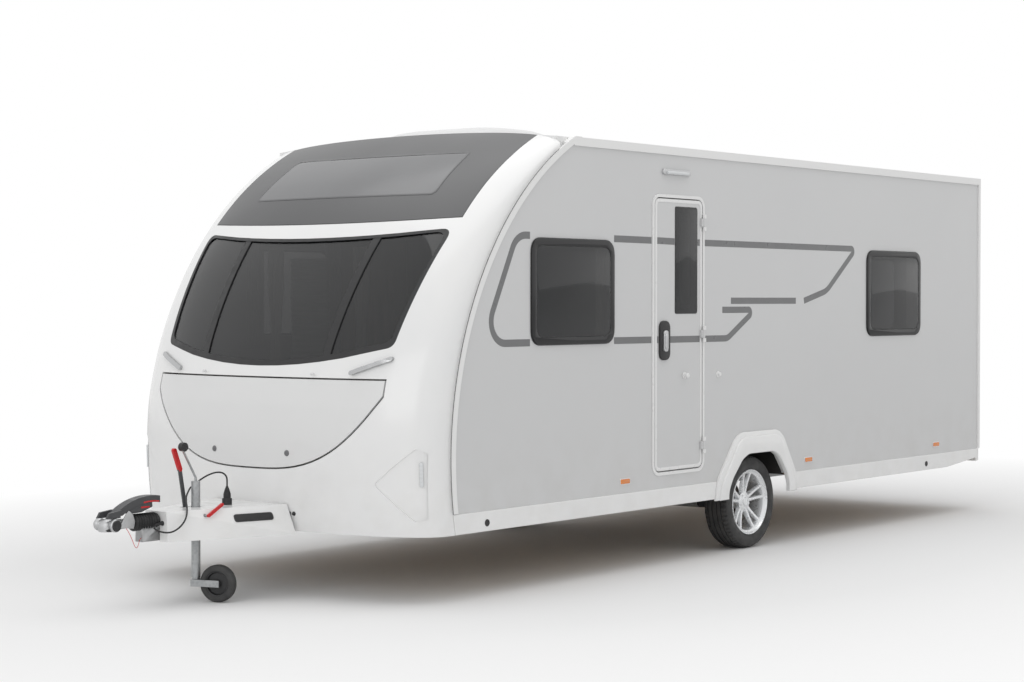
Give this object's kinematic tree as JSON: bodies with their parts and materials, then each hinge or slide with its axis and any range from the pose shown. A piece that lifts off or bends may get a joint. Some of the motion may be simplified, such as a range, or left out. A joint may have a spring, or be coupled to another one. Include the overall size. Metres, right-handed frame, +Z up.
{
  "type": "travel_caravan",
  "caption": "Single-axle travel caravan with a curved glazed front, grey sides, alloy wheels, gas locker lid and jockey wheel",
  "frame": {"origin": "On the ground, under the middle of the overall length and width", "axes": "+X to the side of the entrance door, +Y to the rear, +Z up"},
  "size_m": [2.3176, 7.725, 2.6573],
  "materials": {
    "gel_white": "gloss white gelcoat on glass-fibre mouldings",
    "body_grey": "light grey glass-fibre skins of the side and door panels",
    "locker_grey": "light grey moulded lid",
    "galvanised": "hot-dip galvanised steel",
    "dark_steel": "dark painted steel",
    "window_dark": "dark tinted acrylic",
    "roof_glass": "grey tinted acrylic",
    "black_trim": "matt black trim",
    "white_trim": "white plastic trim",
    "rubber_black": "ribbed black rubber",
    "tyre_black": "tyre rubber",
    "alloy_silver": "silver lacquered alloy",
    "silver_cast": "cast and turned silver metal",
    "signal_red": "red plastic",
    "lamp_lens": "amber and red lenses",
    "furniture": "light wood laminate",
    "floor_ply": "plywood sandwich",
    "upholstery": "woven grey upholstery",
    "curtain": "pale woven curtain"
  },
  "bodies": {
    "caravan": {"chassis_rails": "galvanised", "drawbar_rails": "galvanised", "cross_members": "galvanised", "axle_beam": "galvanised", "swing_arms": "dark_steel", "floor_panel": "floor_ply", "wheel_boxes": "black_trim", "side_wall_left": "body_grey", "side_wall_right": "body_grey", "roof_panel": "gel_white", "rear_panel": "gel_white", "front_moulding": "gel_white", "front_window_panes": "window_dark", "roof_window": "roof_glass", "roof_pod": "gel_white", "rooflights": "white_trim", "awning_rails": "gel_white", "side_skirts": "gel_white", "wheel_spats": "gel_white", "window_frames": "black_trim", "side_windows": "window_dark", "rear_window": "window_dark", "rear_bumper": "gel_white", "lamps": "lamp_lens", "door_frame": "white_trim", "locker_bulkhead": "white_trim", "grab_handles": "silver_cast", "drawbar_cover": "gel_white", "coupling_head": "silver_cast", "coupling_handle": "dark_steel", "overrun_bellows": "rubber_black", "handbrake_lever": "dark_steel", "jockey_clamp": "galvanised", "plug_holder": "black_trim", "road_lead": "rubber_black", "road_plug": "rubber_black", "breakaway_cable": "signal_red", "seat_boxes": "furniture", "seat_cushions": "upholstery", "interior_units": "furniture", "mattress": "upholstery", "curtains": "curtain"},
    "door": {"entrance_door": "body_grey", "door_window": "window_dark", "door_handle": "black_trim"},
    "locker_lid": {"locker_door": "locker_grey"},
    "hatch": {"service_door": "body_grey"},
    "left_wheel": {"tyre_left": "tyre_black", "wheel_left": "alloy_silver"},
    "right_wheel": {"tyre_right": "tyre_black", "wheel_right": "alloy_silver"},
    "jockey_leg": {"jockey_tube": "galvanised"},
    "jockey_screw": {"jockey_stem": "galvanised"},
    "jockey_caster": {"jockey_fork": "galvanised"},
    "jockey_roller": {"jockey_wheel": "rubber_black"},
    "leg_front_left": {"steady_front_left": "galvanised"},
    "leg_front_right": {"steady_front_right": "galvanised"},
    "leg_rear_left": {"steady_rear_left": "galvanised"},
    "leg_rear_right": {"steady_rear_right": "galvanised"}
  },
  "joints": [
    {"name": "entrance_door_hinge", "type": "hinge", "parent": "caravan", "child": "door", "pos_m": [1.143, -0.036, 1.393], "axis": [0, 0, 1], "range_deg": [0, 165]},
    {"name": "locker_lid_hinge", "type": "hinge", "parent": "caravan", "child": "locker_lid", "pos_m": [0, -2.75062, 1.206], "axis": [-1, 0, 0], "range_deg": [0, 75]},
    {"name": "service_door_hinge", "type": "hinge", "parent": "caravan", "child": "hatch", "pos_m": [-1.139, 3.203, 0.74], "axis": [0, 0, 1], "range_deg": [0, 110]},
    {"name": "left_wheel_spin", "type": "hinge", "parent": "caravan", "child": "left_wheel", "pos_m": [0.9825, 0.63, 0.298], "axis": [1, 0, 0], "continuous": true},
    {"name": "right_wheel_spin", "type": "hinge", "parent": "caravan", "child": "right_wheel", "pos_m": [-0.9825, 0.63, 0.298], "axis": [1, 0, 0], "continuous": true},
    {"name": "jockey_tube_slide", "type": "slide", "parent": "caravan", "child": "jockey_leg", "axis": [0, 0, 1], "range_m": [0, 0.14]},
    {"name": "jockey_screw_slide", "type": "slide", "parent": "jockey_leg", "child": "jockey_screw", "axis": [0, 0, -1], "range_m": [0, 0.2]},
    {"name": "jockey_swivel", "type": "hinge", "parent": "jockey_screw", "child": "jockey_caster", "pos_m": [0, -3.205, 0.13], "axis": [0, 0, 1], "continuous": true},
    {"name": "jockey_wheel_spin", "type": "hinge", "parent": "jockey_caster", "child": "jockey_roller", "pos_m": [0.12404, -3.15985, 0.1], "axis": [-0.342, 0.9397, 0], "continuous": true},
    {"name": "steady_front_left_hinge", "type": "hinge", "parent": "caravan", "child": "leg_front_left", "pos_m": [0.9, -1.717, 0.398], "axis": [1, 0, 0], "range_deg": [0, 60]},
    {"name": "steady_front_right_hinge", "type": "hinge", "parent": "caravan", "child": "leg_front_right", "pos_m": [-0.9, -1.717, 0.398], "axis": [1, 0, 0], "range_deg": [0, 60]},
    {"name": "steady_rear_left_hinge", "type": "hinge", "parent": "caravan", "child": "leg_rear_left", "pos_m": [0.9, 3.1, 0.398], "axis": [-1, 0, 0], "range_deg": [0, 60]},
    {"name": "steady_rear_right_hinge", "type": "hinge", "parent": "caravan", "child": "leg_rear_right", "pos_m": [-0.9, 3.1, 0.398], "axis": [-1, 0, 0], "range_deg": [0, 60]}
  ]
}
